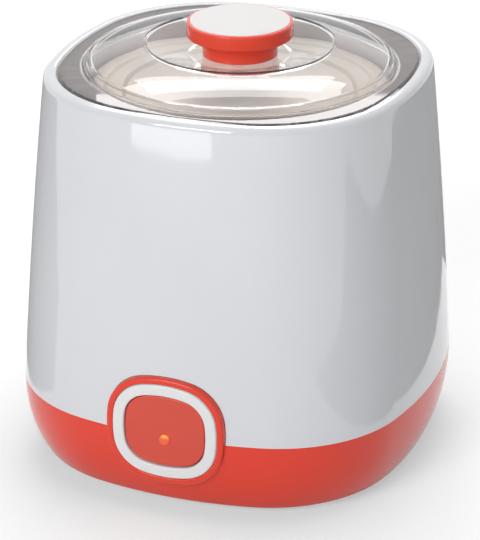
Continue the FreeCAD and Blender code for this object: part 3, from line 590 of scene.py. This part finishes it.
# Amber lens: deep body, a painted highlight towards its top, and a painted glow.
AMBER_LENS = LitLens("amber_lens", (0.82, 0.09, 0.025), (1.0, 0.50, 0.05))
LAMP_GLASS = Clear("lamp_glass", (0.98, 0.72, 0.52), (0.95, 0.68, 0.48), ior=1.5)
PLATED = TurnedMetal("plated_steel", (0.60, 0.60, 0.61), (0.52, 0.52, 0.53))
PLATED_FORWARD = TurnedMetal("plated_steel_forward", PLATED.tone, PLATED.shade, Axis.FORWARD)
BRASS = TurnedMetal("terminal_brass", (0.66, 0.46, 0.18), (0.58, 0.40, 0.15))


@dataclass
class Assembly:
    """Pieces that belong together."""

    pieces: list[Piece] = field(default_factory=list)

    def dress(self, made: dict[str, bpy.types.Material]) -> None:
        """Dress every piece.

        Args:
            made: Materials made so far, by name.
        """
        for piece in self.pieces:
            piece.dress(made)


@dataclass
class Body(Assembly):
    """Housing, base and what is fixed inside them."""

    pieces: list[Piece] = field(
        default_factory=lambda: [
            Piece("outer_housing", WHITE_SHELL),
            Piece("base_shell", CORAL_SHELL, tints_floor=False),
            Piece("rubber_feet", SOFT_RUBBER),
            Piece("base_screws", PLATED),
            Piece("cord_gland", SOFT_RUBBER),
            Piece("heating_well", WELL_GREY_AND_PAINTED_SHADE),
            Piece("heater_foil", HEATER_FILM),
            Piece("insulation_felt", FELT_PAD),
            Piece("heater_support", GREY_CASE),
            Piece("thermostat", DARK_CASE),
            Piece("thermal_fuse", CLAY),
            Piece("fuse_clip", PLATED),
            Piece("terminal_block", NYLON),
            Piece("terminal_screws", BRASS),
            Piece("wiring_leads", SLEEVE),
        ]
    )


@dataclass
class ButtonGroup(Assembly):
    """Ring, button, lens and the switch behind them."""

    pieces: list[Piece] = field(
        default_factory=lambda: [
            Piece("button_ring", WHITE_TRIM),
            Piece("power_button", CORAL_BUTTON),
            Piece("pilot_lens", AMBER_LENS),
            Piece("switch_plunger", NYLON),
            Piece("switch_carrier", GREY_CASE),
            Piece("carrier_screws", PLATED_FORWARD),
            Piece("power_switch", DARK_CASE),
            Piece("pilot_lamp", LAMP_GLASS),
        ]
    )


@dataclass
class ContainerGroup(Assembly):
    """Lift-out container and its snap lid."""

    pieces: list[Piece] = field(
        default_factory=lambda: [Piece("yogurt_container", MILKY_CUP), Piece("container_lid", CREAM_LID)]
    )


@dataclass
class LidGroup(Assembly):
    """Clear outer lid with its knob."""

    pieces: list[Piece] = field(
        default_factory=lambda: [
            Piece("outer_lid", CLEAR_LID, casts_shadow=False),
            Piece("lid_knob", CORAL_KNOB),
            Piece("knob_cap", CAP_WHITE),
            Piece("knob_washer", PLATED),
            Piece("knob_screw", PLATED),
        ]
    )


@dataclass
class Lamp:
    """One rectangular soft light, which glossy and clear surfaces show only where it is mirrored."""

    name: str
    place: Point
    aim: Point
    wide: float
    high: float
    watts: float
    mirrored: bool = True

    def build(self) -> bpy.types.Object:
        """Hang the light.

        Returns:
            The light's object.
        """
        data = bpy.data.lights.new(self.name, "AREA")
        data.shape = "RECTANGLE"
        data.size = self.wide
        data.size_y = self.high
        data.energy = self.watts
        lamp = bpy.data.objects.new(self.name, data)
        bpy.context.scene.collection.objects.link(lamp)
        lamp.location = self.place
        lamp.visible_camera = False
        lamp.visible_glossy = self.mirrored
        lamp.visible_transmission = self.mirrored
        lamp.rotation_euler = (Vector(self.aim) - Vector(self.place)).to_track_quat("-Z", "Y").to_euler()
        return lamp


def seen_rays(tree: bpy.types.ShaderNodeTree) -> bpy.types.NodeSocket:
    """Pick out the rays that show a surface, straight, mirrored or through glass.

    Args:
        tree: Node tree that gets the nodes.

    Returns:
        A socket that is 1 for those rays and 0 for rays that only bring light.
    """
    path = tree.nodes.new("ShaderNodeLightPath")
    shown = path.outputs["Is Camera Ray"]
    for kind in ("Is Glossy Ray", "Is Transmission Ray"):
        either = tree.nodes.new("ShaderNodeMath")
        either.operation = "MAXIMUM"
        tree.links.new(shown, either.inputs[0])
        tree.links.new(path.outputs[kind], either.inputs[1])
        shown = either.outputs["Value"]
    return shown


@dataclass
class Studio:
    """Pale floor, a grey card, even surroundings and soft lights."""

    reach: float = 6.0
    ambient: float = 0.19
    # Floor glow near the object, lower than far away: a painted shade round the object.
    painted_shade_glow: float = 0.36
    far_glow: float = 0.85
    fade_start: float = 0.35
    fade_end: float = 1.40
    floor_tone: float = 0.82
    floor_roughness: float = 0.8
    floor_specular: float = 0.1
    flag_outline: tuple[tuple[float, float], ...] = (
        (0.225, -0.20),
        (0.36, -0.14),
        (0.90, -0.13),
        (0.55, 0.11),
        (0.47, 0.24),
        (0.42, 0.70),
        (-0.80, 0.70),
        (-0.80, 0.12),
        (-0.475, -0.09),
        (-0.30, -0.125),
        (-0.16, -0.10),
        (-0.13, 0.06),
        (0.09, 0.23),
        (0.15, 0.04),
    )
    flag_rise: float = 0.001
    flag_tone: float = 0.42
    lamps: list[Lamp] = field(
        default_factory=lambda: [
            Lamp("key", (-0.40, -1.50, 1.00), (0.0, 0.0, 0.09), wide=0.7, high=0.5, watts=9.5),
            Lamp(
                "fill",
                (0.45, -1.50, 0.30),
                (0.0, 0.0, 0.09),
                wide=1.0,
                high=0.6,
                watts=4.2,
                mirrored=False,
            ),
            Lamp(
                "overhead",
                (0.05, 0.45, 1.38),
                (0.0, 0.0, 0.1),
                wide=1.6,
                high=1.2,
                watts=9.4,
                mirrored=False,
            ),
            Lamp("behind", (-0.36, 0.85, 1.25), (0.0, 0.0, 0.17), wide=1.0, high=0.34, watts=4.0),
            Lamp("low_behind", (-0.48, 1.30, 0.80), (0.03, -0.07, 0.172), wide=0.30, high=0.20, watts=0.65),
            Lamp("low_front", (-0.24, -0.71, 0.03), (0.0, -0.08, 0.16), wide=0.34, high=0.03, watts=0.09),
        ]
    )

    def build(self) -> None:
        """Build floor, surroundings and lights."""
        self.build_floor()
        self.build_flag()
        self.build_world()
        for lamp in self.lamps:
            lamp.build()
        bpy.context.scene.view_settings.view_transform = "Standard"

    def build_floor(self) -> bpy.types.Object:
        """Lay the floor, which still takes the object's shadow; its glow for seen rays is weaker near the
        object, a painted shade that pales away from it.

        Returns:
            The floor's object.
        """
        mesh = bpy.data.meshes.new("studio_floor")
        half = self.reach
        corners = [(-half, -half, 0), (half, -half, 0), (half, half, 0), (-half, half, 0)]
        mesh.from_pydata(corners, [], [(0, 1, 2, 3)])
        floor = bpy.data.objects.new("studio_floor", mesh)
        bpy.context.scene.collection.objects.link(floor)
        material, shader = blank_material("studio_floor")
        tree = material.node_tree
        shader.inputs["Base Color"].default_value = opaque((self.floor_tone,) * 3)
        shader.inputs["Roughness"].default_value = self.floor_roughness
        shader.inputs["Specular IOR Level"].default_value = self.floor_specular
        place = tree.nodes.new("ShaderNodeTexCoord")
        away = tree.nodes.new("ShaderNodeVectorMath")
        away.operation = "LENGTH"
        tree.links.new(place.outputs["Object"], away.inputs["Vector"])
        # Glow rises from near the object to far away: a painted shade round the object that pales with
        # distance.
        painted_shade_fade = tree.nodes.new("ShaderNodeMapRange")
        painted_shade_fade.inputs["From Min"].default_value = self.fade_start
        painted_shade_fade.inputs["From Max"].default_value = self.fade_end
        painted_shade_fade.inputs["To Min"].default_value = self.painted_shade_glow
        painted_shade_fade.inputs["To Max"].default_value = self.far_glow
        tree.links.new(away.outputs["Value"], painted_shade_fade.inputs["Value"])
        glow = tree.nodes.new("ShaderNodeMath")
        glow.operation = "MULTIPLY"
        tree.links.new(seen_rays(tree), glow.inputs[0])
        tree.links.new(painted_shade_fade.outputs["Result"], glow.inputs[1])
        shader.inputs["Emission Color"].default_value = (1.0, 1.0, 1.0, 1.0)
        tree.links.new(glow.outputs["Value"], shader.inputs["Emission Strength"])
        floor.data.materials.append(material)
        return floor

    def build_flag(self) -> bpy.types.Object:
        """Lay a grey card behind and beside the object, which only the glossy sides mirror.

        Returns:
            The card's object.
        """
        mesh = bpy.data.meshes.new("grey_flag")
        corners = [(x, y, self.flag_rise) for x, y in self.flag_outline]
        mesh.from_pydata(corners, [], [tuple(range(len(corners)))])
        flag = bpy.data.objects.new("grey_flag", mesh)
        bpy.context.scene.collection.objects.link(flag)
        material, shader = blank_material("grey_flag")
        shader.inputs["Base Color"].default_value = opaque((self.flag_tone,) * 3)
        shader.inputs["Roughness"].default_value = 1.0
        flag.data.materials.append(material)
        flag.visible_camera = False
        flag.visible_diffuse = False
        flag.visible_shadow = False
        flag.visible_transmission = False
        return flag

    def build_world(self) -> None:
        """Surround the set: white where it is seen, and dim where it only brings light."""
        world = bpy.data.worlds.new("studio")
        bpy.context.scene.world = world
        world.use_nodes = True
        tree = world.node_tree
        back = tree.nodes["Background"]
        back.inputs["Color"].default_value = (1.0, 1.0, 1.0, 1.0)
        level = tree.nodes.new("ShaderNodeMapRange")
        level.inputs["To Min"].default_value = self.ambient
        level.inputs["To Max"].default_value = 1.0
        tree.links.new(seen_rays(tree), level.inputs["Value"])
        tree.links.new(level.outputs["Result"], back.inputs["Strength"])


@dataclass
class Viewpoint:
    """Camera at the picture's viewing angle."""

    target: Point = (0.0, 0.0, 0.087)
    azimuth: float = 20.6
    elevation: float = 23.19
    distance: float = 1.2
    lens: float = 181.6
    dip: float = 0.549
    sensor: float = 36.0
    nearest: float = 0.01

    def build(self) -> bpy.types.Object:
        """Place the camera.

        Returns:
            The camera's object.
        """
        side = math.radians(self.azimuth)
        rise = math.radians(self.elevation)
        away = Vector((math.sin(side) * math.cos(rise), -math.cos(side) * math.cos(rise), math.sin(rise)))
        data = bpy.data.cameras.new("picture")
        data.lens = self.lens
        data.sensor_width = self.sensor
        data.clip_start = self.nearest
        camera = bpy.data.objects.new("picture", data)
        bpy.context.scene.collection.objects.link(camera)
        camera.location = Vector(self.target) + away * self.distance
        pitch = math.radians(90.0 - self.elevation - self.dip)
        camera.rotation_euler = (pitch, 0.0, side)
        bpy.context.scene.camera = camera
        return camera


def main() -> None:
    """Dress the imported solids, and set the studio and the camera."""
    logging.basicConfig(level=logging.INFO)
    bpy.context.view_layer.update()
    Viewpoint().build()
    Studio().build()
    made: dict[str, bpy.types.Material] = {}
    for group in (Body(), ButtonGroup(), ContainerGroup(), LidGroup()):
        group.dress(made)


if __name__ == "__main__":
    main()
